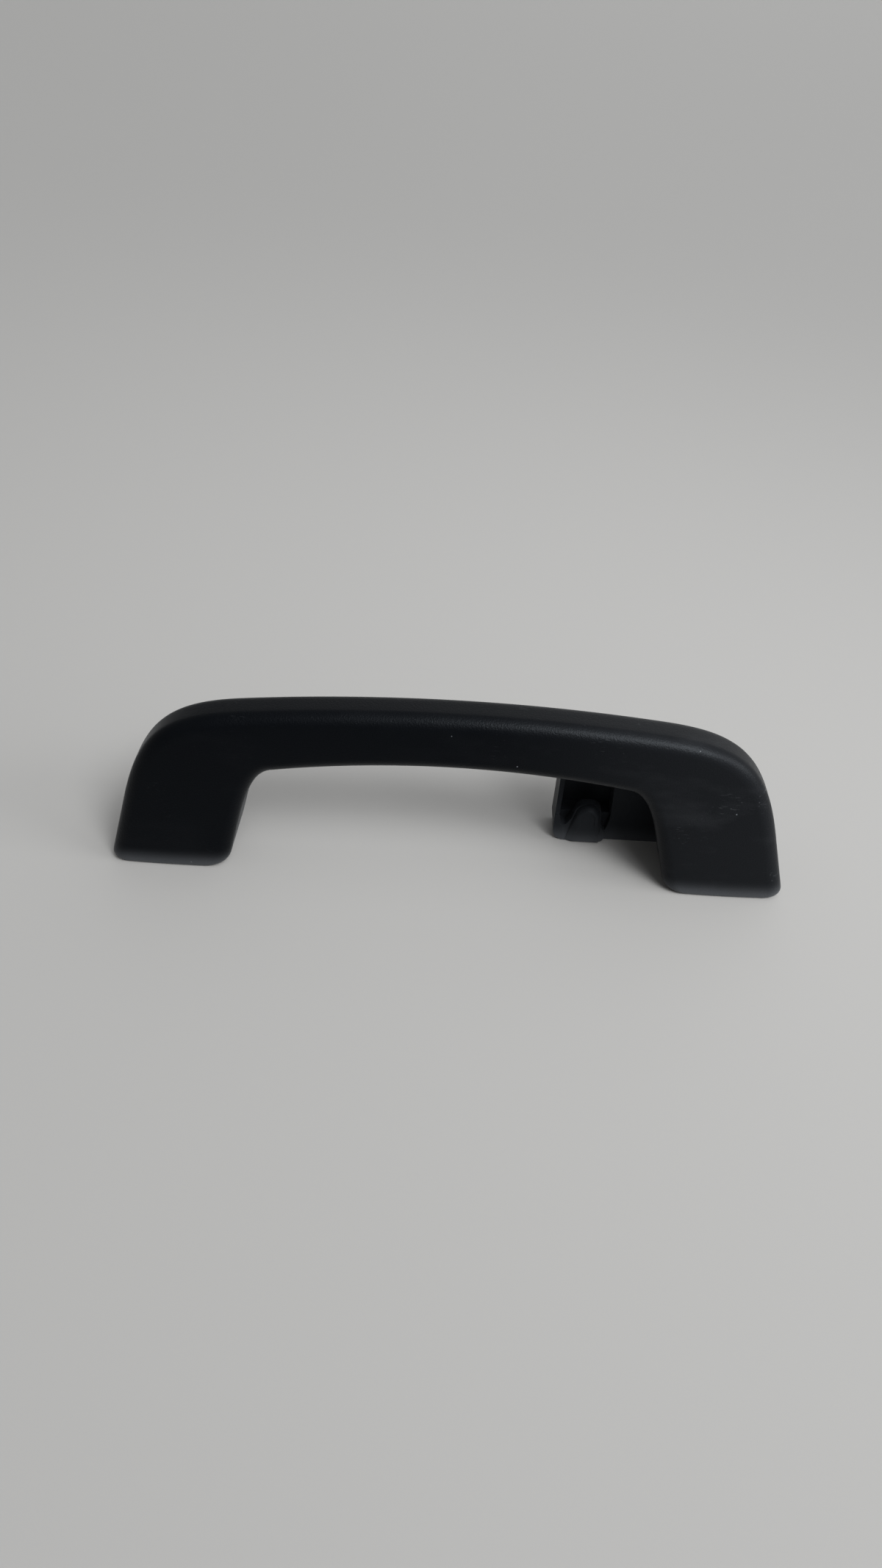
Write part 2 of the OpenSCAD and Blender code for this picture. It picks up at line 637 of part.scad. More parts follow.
// Front wall of the hook: a foot, a notch beside the base's end, and the hill that the tongue grows from
hook_left = hook_x - hook_width / 2;
hook_right = hook_x + hook_width / 2;
hook_foot_y = base_front - hook_foot;
hook_tip_y = hook_foot_y - hook_lean;
hook_back_y = hook_tip_y + hook_thickness;
ledge_front = hook_back_y + 1.6;
notch_x = hook_left - hook_flare - 1.4;
notch_height = 6.2;
hook_wall_shape = rounded([
    [hook_end, 0], [hook_right + 1.4, 0], [hook_right + 3.2, 2.2], [hook_right + 2.5, 4.6],
    [hook_right + 0.9, 7.6], [hook_right + 0.3, hook_height], [hook_left + 0.2, hook_height],
    [hook_left - 1.4, ledge_height + 0.2], [notch_x, notch_height], [hook_end + 2.7, notch_height + 2.4],
    [hook_end + 2, 12], [hook_end + 0.4, 12]
], [4.6, 1.4, 0.8, 1.4, 3, 4.2, 4.2, 5, 1.1, 2, 0.4, 0.2]);

// Front of the tongue: a round pad that widens towards its foot, with a dish that fades downwards
function tombstone(x0, x1, z0, z1, r, flare = 0) =
    rounded([[x0 - flare, z0], [x1, z0], [x1, z1], [x0, z1]], [0, 0, r, r]);
module tongue_pad() {
    leaf = 0.1;
    pad_steps = 6;
    pad_round = 1.4;
    pad_rise = 2.6;
    pad_foot = 1.5;
    pad_r = hook_width / 2 + 0.2;
    pad_z = hook_height - 0.3 - pad_r;
    dish_r = hook_width / 2 - 1.9;
    difference() {
        hull() {
            slab(tombstone(hook_left - 0.6, hook_right + 1, 0.3, 4, 1.5, 2.8), hook_foot_y, hook_foot_y + 1);
            slab(tombstone(hook_left - 0.6, hook_right + 0.6, 0.8, 4, 1.5),
                hook_foot_y - pad_foot, hook_foot_y - pad_foot + leaf);
            for (k = [0 : pad_steps]) let (a = 90 * k / pad_steps, y = hook_tip_y + pad_rise * (1 - sin(a)))
                along_y(hook_x, pad_z, y, y + leaf, pad_r - pad_round * (1 - cos(a)));
        }
        hull() {
            slab(tombstone(hook_left + 1.8, hook_right - 1.8, pad_z - 1, hook_height - 2.3, dish_r),
                hook_tip_y - 1, hook_tip_y + hook_dish);
            block(hook_left + 2.2, hook_right - 2.2, hook_tip_y - 1, hook_tip_y, 5, 5 + leaf);
        }
    }
}

// The well for the hanger, above the ledge, and the notch in the plate on both sides of the hook
well_shape = rounded([
    [base_end(hook_end + base_rim, ledge_height), ledge_height], [well_end, ledge_height],
    [well_end, base_top(well_end) - base_rim],
    [base_end(hook_end + base_rim, base_height), base_top(hook_end) - base_rim]
], [0.4, 0.4, 2, 4]);
notch_shape = rounded([
    [base_end(hook_end + base_rim, ledge_height), ledge_height + 1], [hook_end + base_rim + 0.2, 7],
    [notch_x, 4.6], [hook_right + 3, 4.2], [well_end - 0.2, 9], [well_end, ledge_height + 1]
], [0, 0.5, 0.5, 0.8, 1.5, 0]);
rim_fade = 30;

// Hollow behind the plate, with ribs, and hollow behind the ledge
core_in = well_end + base_rim;
core_low = base_rim;
module plate_core() {
    difference() {
        slab(rounded([[core_in, core_low], [plain_inner, core_low],
            [base_end(plain_inner, base_top(plain_inner)), base_top(plain_inner) - base_rim],
            [core_in, base_top(core_in) - base_rim]], [1.5, 1.5, 1.5, 1.5]), base_front + plate_wall, 1);
        for (z = [pivot_height, hole_height])
            block(core_in - 1, plain_inner + 3, base_front, 2, z - rib_wall / 2, z + rib_wall / 2);
        block((core_in + plain_inner - rib_wall) / 2, (core_in + plain_inner + rib_wall) / 2,
            base_front, 2, 0, base_height);
    }
}

module right_base() {
    color([0.1, 0.1, 0.105]) placed_part() difference() {
        union() {
            difference() {
                base_body(hook_end);
                slab(well_shape, base_front - 1, floor_front);
                slab(notch_shape, base_front - 1, ledge_front);
            }
            slab(hook_wall_shape, hook_foot_y, ledge_front);
            tongue_pad();
            hull() {
                block(hook_end + 0.2, hook_end + base_rim, hook_foot_y, base_front + 1, base_rim + 3, 10);
                block(base_end(hook_end, rim_fade), base_end(hook_end, rim_fade) + base_rim,
                    base_front, base_front + 1, rim_fade, rim_fade + 0.1);
            }
        }
        slab(well_shape, hook_back_y, floor_front);
        plate_core();
        block(hook_end + 2 * base_rim, well_end - base_rim, ledge_front + base_rim, 1, core_low,
            ledge_height - base_rim);
    }
}

// Steel sleeve that takes the clamping load of a fixing screw
module screw_sleeve(side) {
    color([0.6, 0.6, 0.62]) placed_part() on_side(side) difference() {
        along_y(hole_x, hole_height, -sleeve_length, 0, hole_r + sleeve_wall);
        along_y(hole_x, hole_height, -sleeve_length - 1, 1, hole_r);
    }
}
module left_screw_sleeve() { screw_sleeve(-1); }
module right_screw_sleeve() { screw_sleeve(1); }

// Snap-in cap over the fixing screw
function cap_outline(inset) =
    let (w = cap_half_width - inset, h = cap_half_height - inset)
    rounded([[hole_x - w, hole_height - h], [hole_x + w, hole_height - h], [hole_x + w, hole_height + h],
        [hole_x - w, hole_height + h]], [for (k = [1 : 4]) cap_corner_r - inset]);
module screw_cap(side) {
    color([0.1, 0.1, 0.105]) placed_part() on_side(side) difference() {
        slab(cap_outline(0), cap_front, cap_back);
        slab(cap_outline(cap_wall), cap_front + cap_wall, 0);
    }
}
module left_screw_cap() { screw_cap(-1); }
module right_screw_cap() { screw_cap(1); }

// Two flanged bushes, one in each knuckle ear
module pivot_bushes(side) {
    color([0.85, 0.84, 0.8]) placed_part() on_side(side) difference() {
        union() {
            on_pivot(knuckle_in - bush_flange_t, knuckle_in, bush_flange_r);
            on_pivot(knuckle_in - bush_flange_t, pocket_in, bush_r);
            on_pivot(knuckle_out, knuckle_out + bush_flange_t, bush_flange_r);
            on_pivot(pocket_out, knuckle_out + bush_flange_t, bush_r);
        }
        on_pivot(knuckle_in - bush_flange_t - 1, knuckle_out + bush_flange_t + 1, pin_r + bore_gap);
    }
}
module left_pivot_bushes() { pivot_bushes(-1); }
module right_pivot_bushes() { pivot_bushes(1); }

// The spring's wire: a tail to the base's floor, the coil, and a tail to the carrier's web
coil_start = pocket_in + 1.5;
coil_end = pocket_out - 1.5;
coil_turns = round((coil_end - coil_start) / (2 * wire_r + coil_gap) - 0.25);
coil_rings = 18 * coil_turns + 4;
spring_path = concat(
    [[coil_start, floor_front - running_gap, pivot_height + coil_r]],
    [for (k = [0 : coil_rings]) let (a = 90 + (360 * coil_turns + 90) * k / coil_rings)
        [lerp(coil_start, coil_end, k / coil_rings), pivot_y + coil_r * cos(a), pivot_height + coil_r * sin(a)]],
    [[coil_end, web_back + running_gap, pivot_height]]
);
wire_sides = 8;
module wire(path, r) {
    n = len(path);
    function along(k) = path[min(k + 1, n - 1)] - path[max(k - 1, 0)];
    function ring(k) =
        let (t = along(k) / norm(along(k)), e = cross(t, [1, 0, 0]), u = e / norm(e), v = cross(t, u))
        [for (i = [0 : wire_sides - 1]) let (a = 360 * i / wire_sides)
            path[k] + r * (cos(a) * u + sin(a) * v)];
    polyhedron(
        points = [for (k = [0 : n - 1]) each ring(k)],
        faces = concat(
            [[for (i = [wire_sides - 1 : -1 : 0]) i]],
            [for (k = [0 : n - 2], i = [0 : wire_sides - 1]) let (j = (i + 1) % wire_sides, b = k * wire_sides)
                each [[b + i, b + j, b + wire_sides + j], [b + i, b + wire_sides + j, b + wire_sides + i]]],
            [[for (i = [0 : wire_sides - 1]) (n - 1) * wire_sides + i]]
        )
    );
}
module return_spring() {
    color([0.5, 0.5, 0.52]) placed_part() on_side(-1) wire(spring_path, wire_r);
}

module spring_sleeve() {
    color([0.85, 0.84, 0.8]) placed_part() on_side(-1) difference() {
        on_pivot(pocket_in + 0.2, pocket_out - 0.2, coil_r - wire_r - 0.2);
        on_pivot(pocket_in - 1, pocket_out + 1, pin_r + bore_gap);
    }
}

// Rotary damper: housing keyed to the base, rotor pressed on the pin, lid on the open end
damper_in = pocket_in + running_gap;
damper_out = pocket_out - running_gap;
chamber_r = damper_r - damper_wall;
lid_t = 1.5;
module damper_housing() {
    color([0.3, 0.3, 0.32]) placed_part() difference() {
        union() {
            on_pivot(damper_in, damper_out, damper_r);
            block(hinge_x - 3.5, hinge_x + 3.5, pivot_y + chamber_r + 0.4, floor_front,
                pivot_height - 2.5, pivot_height + 2.5);
        }
        on_pivot(damper_in + damper_wall, damper_out + 1, chamber_r);
        on_pivot(damper_in - 1, damper_out, pin_r + 2 * bore_gap);
    }
}
module damper_lid() {
    color([0.3, 0.3, 0.32]) placed_part() difference() {
        on_pivot(damper_out - lid_t, damper_out, chamber_r - press_gap);
        on_pivot(damper_out - lid_t - 1, damper_out + 1, pin_r + 2 * bore_gap);
    }
}
module damper_rotor() {
    color([0.85, 0.84, 0.8]) placed_part() difference() {
        on_pivot(damper_in + damper_wall + running_gap, damper_out - lid_t - running_gap,
            chamber_r - 2 * bore_gap);
        on_pivot(damper_in, damper_out, pin_r + press_gap);
    }
}

module bumper(side) {
    color([0.06, 0.06, 0.06]) placed_part() on_side(side)
        along_y(bumper_x, bumper_height, floor_front - bumper_length, floor_front + bumper_seat, bumper_r);
}
module left_bumper() { bumper(-1); }
module right_bumper() { bumper(1); }

grip_front_shell();
grip_rear_cover();
cover_screws();
left_hinge_carrier();
right_hinge_carrier();
carrier_screws();
left_hinge_pin();
right_hinge_pin();
left_pin_clip();
right_pin_clip();
damper_rotor();
left_base();
right_base();
left_screw_sleeve();
right_screw_sleeve();
left_screw_cap();
right_screw_cap();
left_pivot_bushes();
right_pivot_bushes();
return_spring();
spring_sleeve();
damper_housing();
damper_lid();
left_bumper();
right_bumper();
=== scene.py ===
"""Looks for the roof grab handle: finer moulded shells, finishes, floor, lights and camera."""

import json
import math

import bmesh
import bpy
from bpy.props import FloatProperty, FloatVectorProperty, PointerProperty
from mathutils import Matrix, Vector

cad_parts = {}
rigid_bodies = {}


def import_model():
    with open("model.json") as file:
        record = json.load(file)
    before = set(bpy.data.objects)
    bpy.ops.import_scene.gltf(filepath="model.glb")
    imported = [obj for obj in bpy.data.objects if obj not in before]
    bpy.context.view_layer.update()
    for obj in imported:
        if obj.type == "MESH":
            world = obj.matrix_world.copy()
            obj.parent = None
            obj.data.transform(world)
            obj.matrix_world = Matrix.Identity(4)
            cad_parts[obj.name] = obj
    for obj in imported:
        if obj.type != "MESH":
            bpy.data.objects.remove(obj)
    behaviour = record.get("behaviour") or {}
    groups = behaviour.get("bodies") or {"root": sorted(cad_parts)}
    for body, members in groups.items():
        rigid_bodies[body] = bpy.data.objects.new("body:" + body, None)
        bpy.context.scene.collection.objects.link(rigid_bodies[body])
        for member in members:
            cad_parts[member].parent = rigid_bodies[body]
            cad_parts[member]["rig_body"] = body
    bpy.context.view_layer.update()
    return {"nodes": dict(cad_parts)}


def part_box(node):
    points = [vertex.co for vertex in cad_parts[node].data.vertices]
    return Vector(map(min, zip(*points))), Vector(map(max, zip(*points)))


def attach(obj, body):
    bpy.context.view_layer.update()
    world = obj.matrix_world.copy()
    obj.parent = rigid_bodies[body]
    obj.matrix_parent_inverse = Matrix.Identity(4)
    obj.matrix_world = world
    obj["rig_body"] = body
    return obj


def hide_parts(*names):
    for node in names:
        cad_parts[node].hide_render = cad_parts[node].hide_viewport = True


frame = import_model()

bl_info = {
    "name": "Roof grab handle",
    "version": (1, 0, 0),
    "blender": (4, 5, 0),
    "location": "3D View > Sidebar > Grab handle",
    "description": "Dresses the packed solids of a folding roof grab handle with a coat hook",
    "category": "Object",
}


# Kinds of values


def length(name, description, default):
    """A length in metres."""
    return FloatProperty(
        name=name, description=description, default=default, min=0.0, unit="LENGTH"
    )


def angle(name, description, degrees):
    return FloatProperty(
        name=name, description=description, default=math.radians(degrees),
        min=0.0, subtype="ANGLE",
    )


def number(name, description, default, low=0.0, high=10000.0):
    return FloatProperty(
        name=name, description=description, default=default, min=low, max=high
    )


def part(name, description, default, low=0.0):
    """A number up to 1."""
    return number(name, description, default, low, 1.0)


def colour(name, description, default):
    return FloatVectorProperty(
        name=name, description=description, default=default,
        min=0.0, max=1.0, size=3, subtype="COLOR",
    )


def direction(name, description, default):
    return FloatVectorProperty(
        name=name, description=description, default=default, size=3, subtype="DIRECTION"
    )


def point(name, description, default):
    """A place in the part's frame, in metres."""
    return FloatVectorProperty(
        name=name, description=description, default=default,
        size=3, subtype="TRANSLATION", unit="LENGTH",
    )


class GrabHandleSizes(bpy.types.PropertyGroup):
    """Sizes of the grip's front shell, the same as in the part's source."""

    half_length: length("Half length", "Half of the overall length, at the feet", 0.123)
    grip_height: length("Grip height", "Height of the grip's top at its middle", 0.07)
    bar_face: length("Bar face", "Height of the grip's front face at its middle", 0.0213)
    leg_width: length("Leg width", "Width of a leg at its foot", 0.0432)
    outer_lean: angle("Outer lean", "Lean of a leg's outer side", 15.7)
    inner_lean: angle("Inner lean", "Lean of a leg's inner side", 14.0)
    top_arch_r: length("Top arch", "Radius of the arch along the top", 0.658)
    under_arch_r: length("Under arch", "Radius of the arch along the underside", 0.358)
    shoulder_start: length(
        "Shoulder start", "Height at which the outer side starts to turn", 0.0275
    )
    shoulder_end: length(
        "Shoulder end", "Distance from the middle at which the shoulder ends", 0.0713
    )
    shoulder_pull_leg: length(
        "Shoulder pull, leg", "How far the leg's line reaches into the shoulder", 0.029
    )
    shoulder_pull_arch: length(
        "Shoulder pull, arch", "How far the arch reaches into the shoulder", 0.0272
    )
    armpit_start: length(
        "Inner corner start", "Height at which the inner side starts to turn", 0.0115
    )
    armpit_end: length(
        "Inner corner end", "Distance from the middle at which the inner corner ends", 0.0617
    )
    armpit_pull_leg: length(
        "Inner corner pull, leg", "How far the leg's line reaches into the corner", 0.0157
    )
    armpit_pull_arch: length(
        "Inner corner pull, arch", "How far the arch reaches into the corner", 0.0083
    )
    outer_foot_r: length(
        "Outer foot radius", "Corner radius of the foot on its outer side", 0.004
    )
    inner_foot_r: length(
        "Inner foot radius", "Corner radius of the foot on its inner side", 0.005
    )
    bar_depth: length("Bar depth", "Depth of the grip bar, front to back", 0.0174)
    leg_depth: length("Leg depth", "Depth of a leg, front face to back rim", 0.0306)
    shell_wall: length("Shell wall", "Wall of both shells", 0.0022)
    top_edge_r: length(
        "Top edge radius", "Rounding between the front face and the top", 0.0052
    )
    under_edge_r: length(
        "Under edge radius", "Rounding between the front face and the underside", 0.005
    )
    back_edge_r: length(
        "Back edge radius", "Rounding between the top and the back of the bar", 0.006
    )
    foot_edge_height: length(
        "Foot edge height", "Height of the rounding along a foot's lower edge", 0.0065
    )
    foot_edge_depth: length(
        "Foot edge depth", "Depth of the rounding along a foot's lower edge", 0.0018
    )
    back_round_start: length(
        "Back rounding start", "Height at which the back edge starts to round", 0.025
    )
    back_round_span: length(
        "Back rounding span", "Height over which that rounding grows", 0.015
    )
    face_crown: length("Face crown", "Bulge of the front face", 0.0006)
    seam_depth: length(
        "Seam depth", "Depth of the front shell's wall on the inner side", 0.008
    )
    back_lip: length("Back lip", "Flat lip behind the rounded back edge", 0.001)
    flare_top: length("Flare top", "Height above which the bar has its own depth", 0.046)
    flare_foot: length("Flare foot", "Height below which a leg has its full depth", 0.025)
    pivot_height: length("Pivot height", "Height of the pivot above the feet", 0.012)
    pivot_setback: length(
        "Pivot setback", "Distance of the pivot behind the front face", 0.017
    )
    heel_r: length("Heel radius", "Radius of the legs' heels round the pivot", 0.0136)
    soft_edge: length("Soft edge", "Rounding of the moulded pieces' edges", 0.00035)


class GrabHandleLooks(bpy.types.PropertyGroup):
    """Colours and finishes."""

    grip_colour: colour("Grip colour", "Plastic of the grip's shells", (0.0009, 0.0012, 0.0018))
    base_colour: colour("Base colour", "Plastic of the bases and caps", (0.007, 0.008, 0.0095))
    # Pale colour of the dust and marks, and of the painted light towards the hook end and the feet
    dust_and_light_colour: colour("Dust colour", "Pale dust and scuffs", (0.27, 0.285, 0.31))
    gloss_tint: colour("Gloss tint", "Tint of the plastic's reflections", (0.84, 0.92, 1.0))
    dust_sheen: part(
        "Dust sheen", "How much the dusty surface shines where it turns away", 0.025
    )
    sheen_roughness: part("Sheen roughness", "How far that shine spreads", 0.35)
    nylon_colour: colour("Nylon colour", "Acetal of the bushes and the rotor", (0.62, 0.60, 0.54))
    frame_colour: colour(
        "Frame colour", "Glass-filled nylon of the carriers", (0.035, 0.035, 0.038)
    )
    steel_colour: colour("Steel colour", "Zinc plating", (0.52, 0.52, 0.54))
    rubber_colour: colour("Rubber colour", "Bumpers", (0.012, 0.012, 0.012))
    grip_roughness: part("Grip roughness", "Roughness of the grained plastic", 0.3)
    base_roughness: part("Base roughness", "Roughness of the bases", 0.36)
    grain_scale: number("Grain scale", "Grains in a metre", 1700.0)
    grain_depth: part("Grain depth", "Strength of the moulded grain", 0.34)
    # Scales the marks and dust, and the painted light with them
    wear_and_light: part("Wear", "Amount of scuffs and dust", 0.5)
    # Painted light: a pale layer towards the end with the hook, which stands for the brighter
    # light on that side, with a little dust
    painted_light_and_dust: part("Dust film", "Thin film of dust towards the end with the hook", 0.03)
    # Paler towards the feet: painted bounce light from the bright floor, and dust
    foot_light_and_dust: part("Foot dust", "Dust that gathers towards the feet", 0.45)
    grip_gloss: part("Grip gloss", "Specular level of the grip", 0.07)
    base_gloss: part("Base gloss", "Specular level of the bases", 0.09)


class GrabHandleStage(bpy.types.PropertyGroup):
    """Floor, lights and camera."""

    floor_colour: colour("Floor colour", "Pale plain floor", (0.266, 0.265, 0.261))
    floor_size: length("Floor size", "Side of the floor", 60.0)
    floor_roughness: part("Floor roughness", "Roughness of the floor", 0.6)
    floor_gloss: part("Floor gloss", "Specular level of the floor", 0.2)
    world_low: number(
        "World, dark side", "Brightness of the surroundings on their dark side", 0.3
    )
    world_high: number(
        "World, bright side", "Brightness of the surroundings on their bright side", 0.85
    )
    world_from: part(
        "World fade start", "Cosine to the bright side where the dark side ends", -0.15, -1.0
    )
    world_to: part(
        "World fade end", "Cosine to the bright side where the bright side starts", 0.5, -1.0
    )
    world_bright: direction(
        "Bright side", "Towards the bright side of the surroundings", (0.93, 0.2, 0.3)
    )
    key_strength: number("Key strength", "Strength of the soft key light", 2.5)
    key_from: direction("Key from", "Towards the key light", (0.36, -0.56, 0.75))
    key_angle: angle("Key angle", "How wide the key light looks from the handle", 32.0)
    top_strength: number("Top strength", "Strength of the wide light overhead", 0.6)
    top_from: direction("Top from", "Towards the light overhead", (0.34, -0.1, 0.93))
    top_angle: angle("Top angle", "How wide the light overhead looks from the handle", 45.0)
    pool_power: number("Pool power", "Power of the soft spot over the handle, in watts", 80.0)
    pool_place: point("Pool place", "The soft spot's place", (0.8, -1.0, 1.3))
    pool_aim: point("Pool aim", "Where the spot points, from the feet's level", (0.08, 0.12, 0.0))
    pool_cone: angle("Pool cone", "Full angle of the spot's cone", 32.0)
    pool_radius: length("Pool radius", "Radius of the spot's lamp", 0.3)
    side_power: number("Side power", "Power of the light on the right, in watts", 8.0)
    side_place: point("Side place", "Place of the light on the right", (1.1, -0.4, 0.5))
    side_aim: point("Side aim", "Where the light on the right points", (0.02, 0.0, 0.0))
    side_width: length("Side width", "Width of the light on the right", 0.6)
    side_height: length("Side height", "Height of the light on the right", 0.5)
    camera_place: point(
        "Camera place", "Camera in the part's frame", (0.00348, -0.36767, 0.252796)
    )
    camera_right: direction(
        "Camera right", "The picture's rightward direction", (0.99822098, 0.04687542, 0.03684513)
    )
    camera_up: direction(
        "Camera up", "The picture's upward direction", (-0.05739183, 0.58797567, 0.80684)
    )
    sensor: number("Sensor", "The sensor's long side in millimetres", 36.0)
    lens: number("Lens", "Focal length in millimetres for that sensor", 27.038)
    clip_near: length("Clip, near", "Nearest distance that the camera sees", 0.01)
    clip_far: length("Clip, far", "Farthest distance that the camera sees", 50.0)


# Outline and sections of the front shell. Lengths are in metres.

# Stations up a leg's straight side, as shares of its height
LEG_STEPS = [0, 0.003, 0.009, 0.018, 0.03, 0.045, 0.065, 0.09, 0.115, 0.14, 0.165, 0.19]
LEG_STEPS += [0.215, 0.24, 0.3, 0.4, 0.5, 0.62, 0.74, 0.88]
SHOULDER_STEPS = 44
ARCH_STEPS = 30
SIDE_STEPS = (0.33, 0.66)  # points along the side wall
FACE_STEPS = (0.85, 0.68, 0.5, 0.32, 0.15)  # points across the front face
EDGE_STEPS = 12  # round an edge of the front face
BACK_STEPS = 9  # round the back edge
RIM_R = 0.0005  # outer rounding of a leg's back rim
RIM_FLAT = 0.0003  # by how much that rim's flat falls short of the wall
RIM_BACK = 0.0005  # drop of the inner loop behind a leg's rim
RIM_INNER_R = 0.0003  # inner rounding of a leg's back rim
RIM_SPACING = 0.0002  # between the points inside a leg's rim
SOLE_INNER_GAP = 0.001  # between a sole's ends and the foot's rounded corners
SOLE_OUTER_GAP = 0.0012
SOLE_SETBACK = 0.0003  # of a sole behind the foot's rounded front edge
SOLE_LIFT = 0.00002  # of a sole above the foot's rim
SHELL_SHARP = 35.0  # degrees above which an edge of a built mesh stays sharp


def lerp(a, b, t):
    return a + (b - a) * t


def clamp(t):
    return max(0.0, min(1.0, t))


def ease(t):
    c = clamp(t)
    return c * c * (3 - 2 * c)


def bezier(p, t):
    u = 1 - t
    weights = (u**3, 3 * u**2 * t, 3 * u * t * t, t**3)
    return tuple(sum(w * q[i] for w, q in zip(weights, p)) for i in range(2))


def corner_inset(z, r):
    """How far a rounded corner stands back from its side at height z."""
    return 0.0 if z >= r else r - math.sqrt(max(0.0, r * r - (r - z) ** 2))


def half_outline(half, lean, foot, turn_z, meet_x, pull_leg, pull_arch, top, r):
    """Half of the U's outline, from the foot to the middle of the arch, as (x, z).

    foot is the radius of the foot's corner, and negative on the inner side.
    """
    slope = math.tan(lean)
    start = (half - turn_z * slope, turn_z)
    end = (meet_x, top - meet_x * meet_x / (2 * r))
    norm = math.hypot(r, meet_x)
    curve = [
        start,
        (start[0] - math.sin(lean) * pull_leg, start[1] + math.cos(lean) * pull_leg),
        (end[0] + r / norm * pull_arch, end[1] - meet_x / norm * pull_arch),
        end,
    ]
    points = []
    for step in LEG_STEPS:
        z = step * turn_z
        points.append((half - z * slope - math.copysign(corner_inset(z, abs(foot)), foot), z))
    points += [bezier(curve, k / SHOULDER_STEPS) for k in range(SHOULDER_STEPS)]
    for k in range(ARCH_STEPS + 1):
        x = meet_x * (1 - k / ARCH_STEPS)
        points.append((x, top - x * x / (2 * r)))
    return points


def outlines(s):
    """The outer and the inner outline of the whole U, paired station by station."""
    outer = half_outline(
        s.half_length, s.outer_lean, s.outer_foot_r, s.shoulder_start, s.shoulder_end,
        s.shoulder_pull_leg, s.shoulder_pull_arch, s.grip_height, s.top_arch_r,
    )
    inner = half_outline(
        s.half_length - s.leg_width, s.inner_lean, -s.inner_foot_r, s.armpit_start, s.armpit_end,
        s.armpit_pull_leg, s.armpit_pull_arch, s.grip_height - s.bar_face, s.under_arch_r,
    )
    return [[(-x, z) for x, z in half] + half[-2::-1] for half in (outer, inner)]


def wall_depth(s, z):
    """Depth of the shell's side wall at a height above the feet."""
    flare = (z - s.flare_foot) / (s.flare_top - s.flare_foot)
    body = lerp(s.leg_depth, s.bar_depth, ease(flare))
    drop = s.pivot_height - z
    heel = s.pivot_setback + math.sqrt(max(0.0, s.heel_r**2 - drop * drop))
    return min(body, heel) if drop > 0 else body


def arc(cx, cy, r, start, end, n):
    """Points along an arc, from the start angle to the end angle in degrees."""
    angles = [math.radians(lerp(start, end, k / n)) for k in range(n + 1)]
    return [(cx + r * math.cos(a), cy + r * math.sin(a)) for a in angles]


def crowned(s, p, w):
    """A point moved back towards the face's edges, so that the face bulges."""
    swell = clamp(1 - p[1] / s.top_edge_r)
    return (p[0], p[1] + s.face_crown * (2 * p[0] / w - 1) ** 2 * swell)


def face_loop(s, w, wall):
    """Top edge, front face and under edge of a section, that far inside its skin."""
    top_r, low_r = s.top_edge_r - wall, s.under_edge_r - wall
    points = arc(w - wall - top_r, wall + top_r, top_r, 0, -90, EDGE_STEPS)
    points += [(lerp(s.under_edge_r, w - s.top_edge_r, f), wall) for f in FACE_STEPS]
    points += arc(wall + low_r, wall + low_r, low_r, -90, -180, EDGE_STEPS)
    return [crowned(s, p, w) for p in points]


def front_section(s, w, depth, closed):
    """The front shell's outer and inner loop at one station.

    A point is (distance from the inner side, depth behind the front plane). closed goes
    from 0 at a leg, which is open at its back, to 1 at the bar, whose back edge is round.
    """
    t = s.shell_wall
    bar_rim = s.back_edge_r + s.back_lip
    r = lerp(RIM_R, s.back_edge_r, closed)
    outside = [(w - lerp(t - RIM_FLAT, bar_rim, closed), depth)]
    outside += arc(w - r, depth - r, r, 90, 0, BACK_STEPS)
    outside += [(w, lerp(depth - r, s.top_edge_r, f)) for f in SIDE_STEPS]
    outside += face_loop(s, w, 0.0)
    outside += [(0.0, s.seam_depth)]

    back = depth - lerp(RIM_BACK, t, closed)
    r = lerp(RIM_INNER_R, s.back_edge_r - t, closed)
    inside = [(w - lerp(t, bar_rim, closed), back)]
    for k, bar in enumerate(arc(w - t - r, back - r, r, 90, 0, BACK_STEPS)):
        leg = (w - t, back - RIM_SPACING * (k + 1))
        inside.append((lerp(leg[0], bar[0], closed), lerp(leg[1], bar[1], closed)))
    last = inside[-1][1]
    inside += [(w - t, lerp(last, s.top_edge_r, f)) for f in SIDE_STEPS]
    inside += face_loop(s, w, t)
    inside += [(t, s.seam_depth)]
    return outside, inside


def new_object(name, mesh, sharp):
    """A smoothly shaded object whose edges stay sharp above an angle in degrees."""
    mesh.shade_smooth()
    mesh.set_sharp_from_angle(angle=math.radians(sharp))
    obj = bpy.data.objects.new(name, mesh)
    bpy.context.scene.collection.objects.link(obj)
    return obj


def mesh_object(name, verts, faces):
    mesh = bpy.data.meshes.new(name)
    mesh.from_pydata(verts, [], faces)
    mesh.validate()
    bm = bmesh.new()
    bm.from_mesh(mesh)
    bmesh.ops.recalc_face_normals(bm, faces=bm.faces)
    bm.to_mesh(mesh)
    bm.free()
    return new_object(name, mesh, SHELL_SHARP)


def add_box(verts, faces, low, high):
    """Add a closed box between two corners."""
    n = len(verts)
    xs, ys, zs = zip(low, high)
    verts += [(x, y, z) for z in zs for y in ys for x in xs]
    faces += [
        (n, n + 2, n + 3, n + 1), (n + 4, n + 5, n + 7, n + 6), (n, n + 1, n + 5, n + 4),
        (n + 2, n + 6, n + 7, n + 3), (n, n + 4, n + 6, n + 2), (n + 1, n + 3, n + 7, n + 5),
    ]


